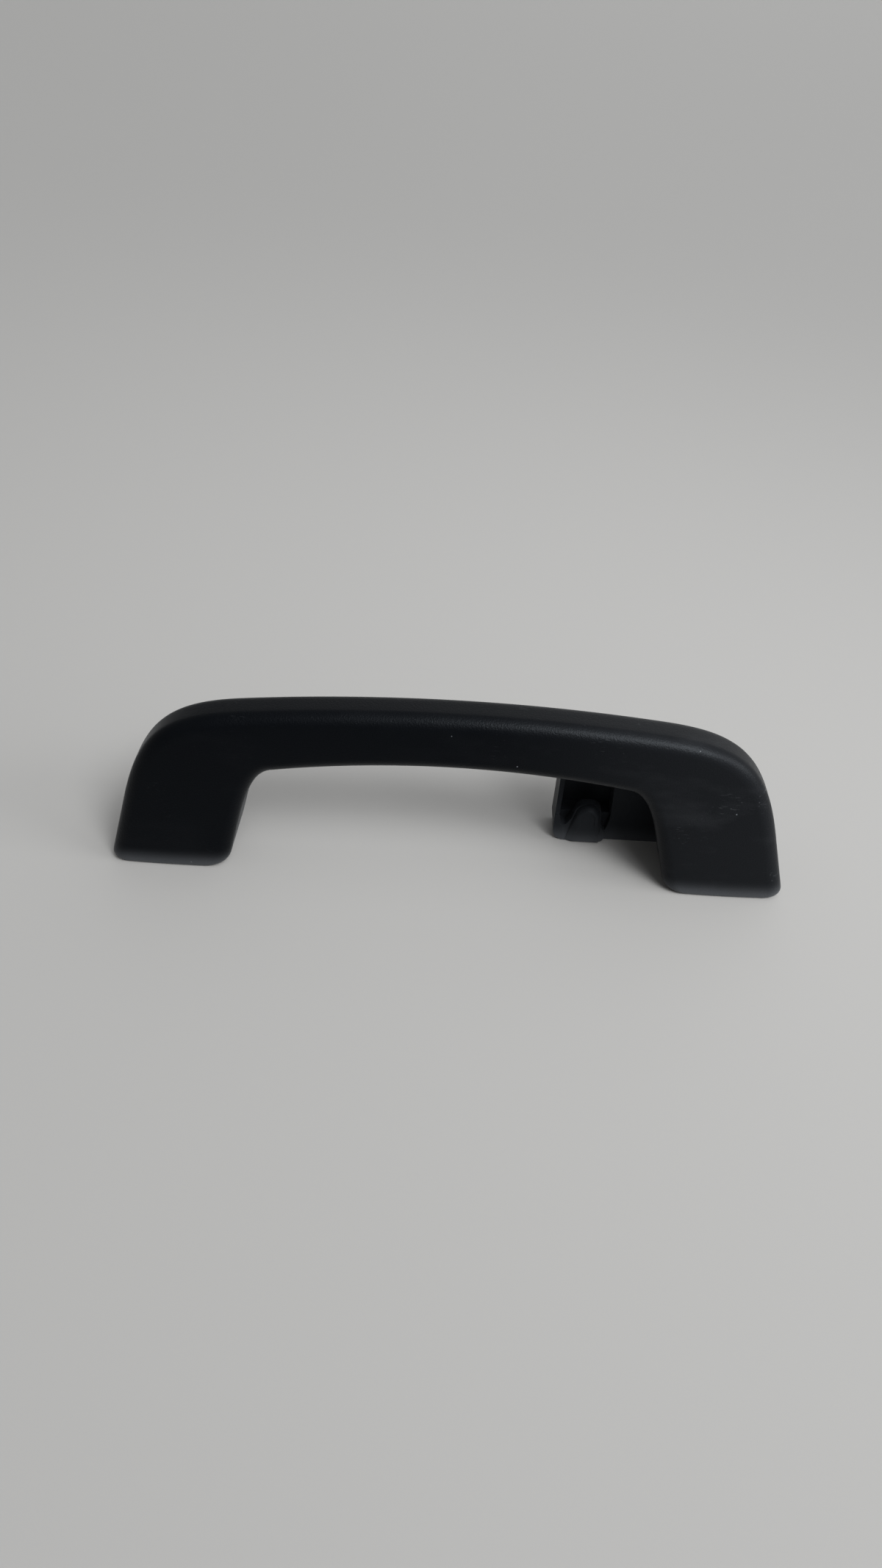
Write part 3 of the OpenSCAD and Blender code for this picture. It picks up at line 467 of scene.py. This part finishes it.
def front_shell(s):
    """The grip's front shell as a fine closed skin, with the soles of its feet."""
    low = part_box("grip_front_shell")[0]
    front_y, foot_z = low.y, low.z
    outer, inner = outlines(s)
    verts, rings = [], []
    for (ox, oz), (ix, iz) in zip(outer, inner):
        w = math.hypot(ox - ix, oz - iz)
        nx, nz = (ox - ix) / w, (oz - iz) / w
        closed = ease((oz - s.back_round_start) / s.back_round_span)
        outside, inside = front_section(s, w, wall_depth(s, oz), closed)
        edge = s.foot_edge_depth * corner_inset(oz, s.foot_edge_height) / s.foot_edge_height
        ring = []
        for u, v in outside + inside[::-1]:
            ring.append(len(verts))
            set_back = edge * max(0.0, 1 - v / s.seam_depth)
            verts.append((ix + nx * u, front_y + v + set_back, foot_z + iz + nz * u))
        rings.append(ring)
    faces = []
    n = len(rings[0])
    for a, b in zip(rings, rings[1:]):
        faces += [(a[i], b[i], b[(i + 1) % n], a[(i + 1) % n]) for i in range(n)]
    for ring in (rings[0], rings[-1]):
        faces += [
            (ring[i], ring[i + 1], ring[n - 2 - i], ring[n - 1 - i]) for i in range(n // 2 - 1)
        ]
    foot_in = s.half_length - s.leg_width + s.inner_foot_r + SOLE_INNER_GAP
    foot_out = s.half_length - s.outer_foot_r - SOLE_OUTER_GAP
    for side in (-1, 1):
        xs = sorted((side * foot_in, side * foot_out))
        add_box(
            verts, faces,
            (xs[0], front_y + s.foot_edge_depth + SOLE_SETBACK, foot_z + SOLE_LIFT),
            (xs[1], front_y + s.seam_depth, foot_z + s.shell_wall),
        )
    return mesh_object("front_shell", verts, faces)


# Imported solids, dressed

WELD = 1e-6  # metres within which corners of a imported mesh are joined
FLAT = 0.5  # degrees within which its faces are merged
PIECE_SHARP = 32.0  # degrees above which an edge stays sharp, and is softened
COVER_SHARP = 40.0  # the same on the rear cover, whose curves are faceted
SOFT_STEPS = 2


def dressed(node, name, soft=0.0, sharp=PIECE_SHARP):
    """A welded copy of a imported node, which stands for it, with soft edges if soft is over 0."""
    source = frame["nodes"][node]
    mesh = source.data.copy()
    mesh.name = name
    if mesh.has_custom_normals:
        mesh.normals_split_custom_set([(0, 0, 0)] * len(mesh.loops))
    bm = bmesh.new()
    bm.from_mesh(mesh)
    bmesh.ops.remove_doubles(bm, verts=bm.verts, dist=WELD)
    bmesh.ops.dissolve_limit(
        bm, angle_limit=math.radians(FLAT), verts=bm.verts, edges=bm.edges
    )
    bm.to_mesh(mesh)
    bm.free()
    mesh.materials.clear()
    obj = new_object(name, mesh, sharp)
    if soft > 0:
        bevel = obj.modifiers.new("soft edges", "BEVEL")
        bevel.width = soft
        bevel.segments = SOFT_STEPS
        bevel.limit_method = "ANGLE"
        bevel.angle_limit = math.radians(sharp)
        bevel.use_clamp_overlap = True
        bevel.harden_normals = False
    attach(obj, source["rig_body"])
    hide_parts(node)
    return obj


# Finishes. Lengths are in metres in the part's own coordinates, scales in cells a metre.

GRAIN_HEIGHT = 0.0003
HOOK_END = 0.095  # x at which the use marks and the painted light towards the hook end are at their full level; they start at 0
LEFT_SHARE = 0.15  # share of the marks that the end without the hook has
FOOT_LIGHT_AND_DUST_TOP, FOOT_LIGHT_AND_DUST_END = -0.0185, -0.0295  # z between which the feet grow paler: painted bounce light from the floor, and dust
FOOT_LIGHT_AND_DUST_POWER = 1.8
BRIGHT_SCALE, BRIGHT_LEVEL = 130.0, 0.9
BRIGHT_EDGE, BRIGHT_CORE = 0.036, 0.016  # where a bright speck ends and is full, in cells
BRIGHT_ABOVE = 0.5  # share of the cells without a bright speck
SPECK_SCALE, SPECK_LEVEL = 420.0, 0.2
SPECK_EDGE, SPECK_CORE = 0.16, 0.05
PATCH_SCALE = 60.0
PATCH_EDGE, PATCH_CORE = 0.56, 0.72  # noise where specks and scratches start and are full
SCUFF_SCALES, SCUFF_TURN = (26.0, 60.0, 70.0), (0.0, 0.35, 0.0)
SCUFF_EDGE, SCUFF_CORE, SCUFF_LEVEL = 0.5, 0.8, 0.05
SCUFF_ROUGHNESS = 0.14  # roughness that the scuffs add
SCRATCH_SCALES, SCRATCH_TURN = (260.0, 260.0, 2200.0), (0.0, 0.6, 0.0)
SCRATCH_EDGE, SCRATCH_CORE, SCRATCH_LEVEL = 0.66, 0.76, 0.26
METAL_SCALE = 500.0
COVER_ROUGHER = 0.05  # by how much the rear cover is rougher than the front shell


def group(name, inputs, outputs):
    """An empty shader node group with named sockets: (name, type, default)."""
    tree = bpy.data.node_groups.new(name, "ShaderNodeTree")
    for label, kind, default in inputs:
        socket = tree.interface.new_socket(label, in_out="INPUT", socket_type=kind)
        socket.default_value = default
    for label, kind in outputs:
        tree.interface.new_socket(label, in_out="OUTPUT", socket_type=kind)
    return tree


def add(tree, kind, **values):
    node = tree.nodes.new(kind)
    for key, value in values.items():
        setattr(node, key, value)
    return node


def feed(tree, socket, value):
    """Link an output to an input socket, or set the socket's own value."""
    if isinstance(value, bpy.types.NodeSocket):
        tree.links.new(value, socket)
    else:
        socket.default_value = value


def fed(tree, node, values):
    """The node, with its named inputs fed."""
    for label, value in values.items():
        feed(tree, node.inputs[label], value)
    return node


def maths(tree, operation, *values):
    node = add(tree, "ShaderNodeMath", operation=operation)
    for socket, value in zip(node.inputs, values):
        feed(tree, socket, value)
    return node.outputs["Value"]


def rise(tree, value, start, end, low=0.0, high=1.0, smooth=False):
    """From low at the start to high at the end, and level beyond them."""
    kind = "SMOOTHSTEP" if smooth else "LINEAR"
    node = add(tree, "ShaderNodeMapRange", interpolation_type=kind)
    fed(tree, node, {
        "Value": value, "From Min": start, "From Max": end, "To Min": low, "To Max": high,
    })
    return node.outputs["Result"]


def noise(tree, place, scale, detail, roughness=0.5):
    node = fed(tree, add(tree, "ShaderNodeTexNoise"), {
        "Vector": place, "Scale": scale, "Detail": detail, "Roughness": roughness,
    })
    return node.outputs["Fac"]


def stretched_noise(tree, place, scales, turn, detail, roughness=0.5):
    """Noise with a scale of its own along each turned axis."""
    node = fed(tree, add(tree, "ShaderNodeMapping"), {
        "Vector": place, "Scale": scales, "Rotation": turn,
    })
    return noise(tree, node.outputs["Vector"], 1.0, detail, roughness)


def cells(tree, place, scale):
    node = add(tree, "ShaderNodeTexVoronoi")
    return fed(tree, node, {"Vector": place, "Scale": scale}).outputs


def moulded_group():
    """Fine moulded grain under dust, specks, scuffs and scratches, and a pale layer of painted
    light towards the end with the hook and along the feet.
    """
    tree = group(
        "Moulded plastic",
        [
            ("Colour", "NodeSocketColor", (0.01, 0.01, 0.01, 1)),
            ("Dust colour", "NodeSocketColor", (0.3, 0.3, 0.3, 1)),
            ("Roughness", "NodeSocketFloat", 0.45),
            ("Grain scale", "NodeSocketFloat", 1700.0),
            ("Grain depth", "NodeSocketFloat", 0.2),
            ("Wear", "NodeSocketFloat", 0.5),
            ("Film", "NodeSocketFloat", 0.05),
            ("Foot film", "NodeSocketFloat", 0.45),
        ],
        [
            ("Colour", "NodeSocketColor"), ("Roughness", "NodeSocketFloat"),
            ("Normal", "NodeSocketVector"),
        ],
    )
    ins = add(tree, "NodeGroupInput").outputs
    outs = add(tree, "NodeGroupOutput")
    place = add(tree, "ShaderNodeTexCoord").outputs["Object"]
    bump = fed(tree, add(tree, "ShaderNodeBump"), {
        "Distance": GRAIN_HEIGHT,
        "Strength": ins["Grain depth"],
        "Height": noise(tree, place, ins["Grain scale"], detail=2.0, roughness=0.55),
    })
    axes = fed(tree, add(tree, "ShaderNodeSeparateXYZ"), {"Vector": place}).outputs
    # More use and marks towards the end with the hook, and there a pale layer of painted light, as
    # the light falls brighter on that side
    hook_end_use_and_light = rise(tree, axes["X"], 0.0, HOOK_END, smooth=True)
    # Paler along the feet: painted bounce light from the bright floor, and dust
    low = rise(tree, axes["Z"], FOOT_LIGHT_AND_DUST_TOP, FOOT_LIGHT_AND_DUST_END, smooth=True)
    feet_light_and_dust = maths(tree, "POWER", low, FOOT_LIGHT_AND_DUST_POWER)
    # A few bright specks, one in some of the large cells
    large = cells(tree, place, BRIGHT_SCALE)
    dot = rise(tree, large["Distance"], BRIGHT_EDGE, BRIGHT_CORE)
    pick = fed(tree, add(tree, "ShaderNodeSeparateColor"), {"Color": large["Color"]})
    picked = maths(tree, "GREATER_THAN", pick.outputs["Red"], BRIGHT_ABOVE)
    bright = maths(tree, "MULTIPLY", dot, picked)
    # Pale specks in patches
    small = rise(tree, cells(tree, place, SPECK_SCALE)["Distance"], SPECK_EDGE, SPECK_CORE)
    patch = rise(tree, noise(tree, place, PATCH_SCALE, detail=3.0), PATCH_EDGE, PATCH_CORE)
    speck = maths(tree, "MULTIPLY", small, patch)
    # Broad, faint scuffs
    scuff = stretched_noise(
        tree, place, SCUFF_SCALES, SCUFF_TURN, detail=8.0, roughness=0.62
    )
    faint = rise(tree, scuff, SCUFF_EDGE, SCUFF_CORE, high=SCUFF_LEVEL)
    marks = maths(tree, "MULTIPLY_ADD", speck, SPECK_LEVEL, faint)
    # Short scratches in the same patches
    scratch = stretched_noise(tree, place, SCRATCH_SCALES, SCRATCH_TURN, detail=1.0)
    thin = rise(tree, scratch, SCRATCH_EDGE, SCRATCH_CORE, high=SCRATCH_LEVEL)
    marks = maths(tree, "MULTIPLY_ADD", thin, patch, marks)
    # All of it together: the marks, dust and painted light
    share = maths(tree, "MULTIPLY_ADD", hook_end_use_and_light, 1.0 - LEFT_SHARE, LEFT_SHARE)
    marks = maths(tree, "MULTIPLY", marks, share)
    # Painted light towards the hook end: a pale layer, added to the marks
    painted_light_and_dust = maths(tree, "MULTIPLY_ADD", hook_end_use_and_light, ins["Film"], marks)
    # Painted bounce light from the floor, and dust, along the feet
    dust = maths(tree, "MULTIPLY_ADD", feet_light_and_dust, ins["Foot film"], painted_light_and_dust)
    dust = maths(tree, "MULTIPLY_ADD", bright, BRIGHT_LEVEL, dust)
    # Mix in the pale colour: marks, dust and painted light, all scaled by the wear
    mix = fed(tree, add(tree, "ShaderNodeMix", data_type="RGBA"), {
        "Factor": maths(tree, "MULTIPLY", dust, ins["Wear"]),
        "A": ins["Colour"],
        "B": ins["Dust colour"],
    })
    fed(tree, outs, {
        "Colour": mix.outputs["Result"],
        "Roughness": maths(tree, "MULTIPLY_ADD", scuff, SCUFF_ROUGHNESS, ins["Roughness"]),
        "Normal": bump.outputs["Normal"],
    })
    return tree


def uneven_group():
    """A little unevenness in the roughness, for metal, nylon and rubber."""
    tree = group(
        "Uneven finish",
        [("Roughness", "NodeSocketFloat", 0.3), ("Unevenness", "NodeSocketFloat", 0.1)],
        [("Roughness", "NodeSocketFloat")],
    )
    ins = add(tree, "NodeGroupInput").outputs
    place = add(tree, "ShaderNodeTexCoord").outputs["Object"]
    sway = noise(tree, place, METAL_SCALE, detail=2.0)
    uneven = maths(tree, "MULTIPLY_ADD", sway, ins["Unevenness"], ins["Roughness"])
    fed(tree, add(tree, "NodeGroupOutput"), {"Roughness": uneven})
    return tree


def new_material(name, **values):
    """A material with one principled shader, its values set by the sockets' names."""
    material = bpy.data.materials.new(name)
    material.use_nodes = True
    tree = material.node_tree
    tree.nodes.clear()
    shader = fed(tree, add(tree, "ShaderNodeBsdfPrincipled"), values)
    fed(tree, add(tree, "ShaderNodeOutputMaterial"), {"Surface": shader.outputs["BSDF"]})
    return material, tree, shader


def finish(tree, name, values):
    """The outputs of a shared finish, with its named sockets set."""
    node = add(tree, "ShaderNodeGroup")
    node.node_tree = bpy.data.node_groups[name]
    return fed(tree, node, values).outputs


def moulded_material(name, looks, colour_value, roughness, gloss, scale=1.0, depth=1.0, wear_and_light=1.0):
    """Moulded plastic; scale, depth and wear are shares of the grip's."""
    tint = (*looks.gloss_tint, 1)
    material, tree, shader = new_material(name, **{
        "Specular IOR Level": gloss,
        "Specular Tint": tint,
        "Sheen Weight": looks.dust_sheen,
        "Sheen Roughness": looks.sheen_roughness,
        "Sheen Tint": tint,
    })
    made = finish(tree, "Moulded plastic", {
        "Colour": (*colour_value, 1),
        "Dust colour": (*looks.dust_and_light_colour, 1),
        "Roughness": roughness,
        "Grain scale": looks.grain_scale * scale,
        "Grain depth": looks.grain_depth * depth,
        "Wear": looks.wear_and_light * wear_and_light,
        "Film": looks.painted_light_and_dust,
        "Foot film": looks.foot_light_and_dust,
    })
    fed(tree, shader, {
        "Base Color": made["Colour"], "Roughness": made["Roughness"], "Normal": made["Normal"],
    })
    return material


def plain_material(name, colour_value, roughness, unevenness, metallic=0.0, gloss=0.5):
    material, tree, shader = new_material(name, **{
        "Base Color": (*colour_value, 1), "Metallic": metallic, "Specular IOR Level": gloss,
    })
    made = finish(tree, "Uneven finish", {"Roughness": roughness, "Unevenness": unevenness})
    feed(tree, shader.inputs["Roughness"], made["Roughness"])
    return material


def paint(obj, name):
    obj.data.materials.clear()
    obj.data.materials.append(bpy.data.materials[name])


class GRABHANDLE_OT_finishes(bpy.types.Operator):
    """Make the finishes that the pieces take"""

    bl_idname = "grabhandle.finishes"
    bl_label = "Make finishes"

    def execute(self, context):
        looks = context.scene.grab_handle_looks
        moulded_group()
        uneven_group()
        moulded_material(
            "Grip plastic", looks, looks.grip_colour, looks.grip_roughness, looks.grip_gloss
        )
        moulded_material(
            "Cover plastic", looks, looks.grip_colour, looks.grip_roughness + COVER_ROUGHER,
            looks.grip_gloss, depth=0.7, wear_and_light=0.5,
        )
        moulded_material(
            "Base plastic", looks, looks.base_colour, looks.base_roughness,
            looks.base_gloss, scale=1.3, depth=0.5, wear_and_light=0.6,
        )
        plain_material(
            "Carrier nylon", looks.frame_colour, roughness=0.45, unevenness=0.2, gloss=0.4
        )
        plain_material("White acetal", looks.nylon_colour, roughness=0.35, unevenness=0.15)
        plain_material(
            "Zinc-plated steel", looks.steel_colour,
            roughness=0.28, unevenness=0.25, metallic=1.0,
        )
        plain_material(
            "Bumper rubber", looks.rubber_colour, roughness=0.7, unevenness=0.2, gloss=0.25
        )
        return {"FINISHED"}


class GRABHANDLE_OT_front_shell(bpy.types.Operator):
    """Build the grip's front shell with smooth edges"""

    bl_idname = "grabhandle.front_shell"
    bl_label = "Build front shell"

    def execute(self, context):
        obj = front_shell(context.scene.grab_handle_sizes)
        paint(obj, "Grip plastic")
        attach(obj, "handle")
        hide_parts("grip_front_shell")
        return {"FINISHED"}


class GRABHANDLE_OT_mouldings(bpy.types.Operator):
    """Weld the other moulded pieces and soften the edges of all but the rear cover"""

    bl_idname = "grabhandle.mouldings"
    bl_label = "Dress mouldings"

    def execute(self, context):
        soft = context.scene.grab_handle_sizes.soft_edge
        cover = dressed("grip_rear_cover", "rear_cover", sharp=COVER_SHARP)
        paint(cover, "Cover plastic")
        for side in ("left", "right"):
            for node, name, material, slot in (
                ("base", "base_moulding", "Base plastic", "base_plastic"),
                ("screw_cap", "cap_moulding", "Base plastic", "base_plastic"),
                ("hinge_carrier", "carrier_moulding", "Carrier nylon", "nylon_dark"),
            ):
                paint(dressed(f"{side}_{node}", f"{side}_{name}", soft), material)
        return {"FINISHED"}


class GRABHANDLE_OT_hardware(bpy.types.Operator):
    """Give the hinge, spring, damper and screws their finishes"""

    bl_idname = "grabhandle.hardware"
    bl_label = "Finish hardware"

    def execute(self, context):
        for name, slot, nodes in (
            ("Zinc-plated steel", "steel", (
                "cover_screws", "carrier_screws", "left_hinge_pin", "right_hinge_pin",
                "left_pin_clip", "right_pin_clip", "left_screw_sleeve", "right_screw_sleeve",
                "return_spring",
            )),
            ("White acetal", "nylon_white", (
                "left_pivot_bushes", "right_pivot_bushes", "spring_sleeve", "damper_rotor",
            )),
            ("Carrier nylon", "nylon_dark", ("damper_housing", "damper_lid")),
            ("Bumper rubber", "rubber", ("left_bumper", "right_bumper")),
        ):
            for node in nodes:
                paint(frame["nodes"][node], name)
        return {"FINISHED"}


# Floor, lights and camera


def add_light(name, kind, place, target, strength, **settings):
    """A light at a place, aimed at a target."""
    light = bpy.data.lights.new(name, kind)
    light.energy = strength
    for key, value in settings.items():
        setattr(light, key, value)
    obj = bpy.data.objects.new(name, light)
    obj.location = place
    obj.rotation_euler = (Vector(target) - Vector(place)).to_track_quat("-Z", "Y").to_euler()
    bpy.context.scene.collection.objects.link(obj)


def add_lights(stage, foot_z):
    centre = (0.0, 0.0, 0.0)
    add_light(
        "key", "SUN", stage.key_from, centre, stage.key_strength, angle=stage.key_angle
    )
    add_light(
        "top", "SUN", stage.top_from, centre, stage.top_strength, angle=stage.top_angle
    )
    aim = Vector(stage.pool_aim) + Vector((0.0, 0.0, foot_z))
    add_light(
        "pool", "SPOT", stage.pool_place, aim, stage.pool_power,
        spot_size=stage.pool_cone, spot_blend=1.0, shadow_soft_size=stage.pool_radius,
    )
    add_light(
        "side", "AREA", stage.side_place, stage.side_aim, stage.side_power,
        shape="RECTANGLE", size=stage.side_width, size_y=stage.side_height,
    )


def surroundings(stage):
    """A plain world that grows brighter towards one side."""
    world = bpy.data.worlds.new("Surroundings")
    world.use_nodes = True
    tree = world.node_tree
    towards = add(tree, "ShaderNodeVectorMath", operation="DOT_PRODUCT")
    feed(tree, towards.inputs[0], add(tree, "ShaderNodeTexCoord").outputs["Generated"])
    feed(tree, towards.inputs[1], stage.world_bright)
    level = rise(
        tree, towards.outputs["Value"], stage.world_from, stage.world_to,
        stage.world_low, stage.world_high, smooth=True,
    )
    fed(tree, tree.nodes["Background"], {"Color": (1.0, 1.0, 1.0, 1), "Strength": level})
    return world


def add_floor(stage, foot_z):
    half = stage.floor_size / 2
    corners = ((-half, -half), (half, -half), (half, half), (-half, half))
    floor = mesh_object("floor", [(x, y, foot_z) for x, y in corners], [(0, 1, 2, 3)])
    material = new_material("Floor", **{
        "Base Color": (*stage.floor_colour, 1),
        "Roughness": stage.floor_roughness,
        "Specular IOR Level": stage.floor_gloss,
    })[0]
    floor.data.materials.append(material)


def add_camera(stage):
    """A camera at its place, upright along the given directions."""
    right = Vector(stage.camera_right).normalized()
    up = Vector(stage.camera_up)
    up = (up - up.dot(right) * right).normalized()
    turn = Matrix((right, up, right.cross(up))).transposed()
    camera = bpy.data.cameras.new("camera")
    camera.sensor_width = stage.sensor
    camera.lens = stage.lens
    camera.clip_start, camera.clip_end = stage.clip_near, stage.clip_far
    obj = bpy.data.objects.new("camera", camera)
    obj.matrix_world = Matrix.Translation(stage.camera_place) @ turn.to_4x4()
    bpy.context.scene.collection.objects.link(obj)
    bpy.context.scene.camera = obj


class GRABHANDLE_OT_stage(bpy.types.Operator):
    """Set up the floor, the lights and the camera at the photo's angle"""

    bl_idname = "grabhandle.stage"
    bl_label = "Set stage"

    def execute(self, context):
        stage = context.scene.grab_handle_stage
        foot_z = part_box("grip_front_shell")[0].z
        add_floor(stage, foot_z)
        context.scene.world = surroundings(stage)
        add_lights(stage, foot_z)
        add_camera(stage)
        context.scene.view_settings.view_transform = "Standard"
        return {"FINISHED"}


class GRABHANDLE_PT_panel(bpy.types.Panel):
    """Sizes, looks and steps of the grab handle"""

    bl_idname = "GRABHANDLE_PT_panel"
    bl_label = "Grab handle"
    bl_space_type = "VIEW_3D"
    bl_region_type = "UI"
    bl_category = "Grab handle"

    def draw(self, context):
        for name, cls in GROUPS.items():
            values = getattr(context.scene, name)
            box = self.layout.box()
            box.label(text=name.rsplit("_", 1)[-1].capitalize())
            for key in cls.__annotations__:
                box.prop(values, key)
        for step in STEPS:
            self.layout.operator(step.bl_idname)


STEPS = [
    GRABHANDLE_OT_finishes,
    GRABHANDLE_OT_front_shell,
    GRABHANDLE_OT_mouldings,
    GRABHANDLE_OT_hardware,
    GRABHANDLE_OT_stage,
]
GROUPS = {
    "grab_handle_sizes": GrabHandleSizes,
    "grab_handle_looks": GrabHandleLooks,
    "grab_handle_stage": GrabHandleStage,
}
CLASSES = [*GROUPS.values(), *STEPS, GRABHANDLE_PT_panel]


def register():
    for cls in CLASSES:
        bpy.utils.register_class(cls)
    for name, cls in GROUPS.items():
        setattr(bpy.types.Scene, name, PointerProperty(type=cls))


def unregister():
    for name in GROUPS:
        delattr(bpy.types.Scene, name)
    for cls in reversed(CLASSES):
        bpy.utils.unregister_class(cls)


def main():
    register()
    bpy.ops.grabhandle.finishes()
    bpy.ops.grabhandle.front_shell()
    bpy.ops.grabhandle.mouldings()
    bpy.ops.grabhandle.hardware()
    bpy.ops.grabhandle.stage()


if __name__ == "__main__":
    main()
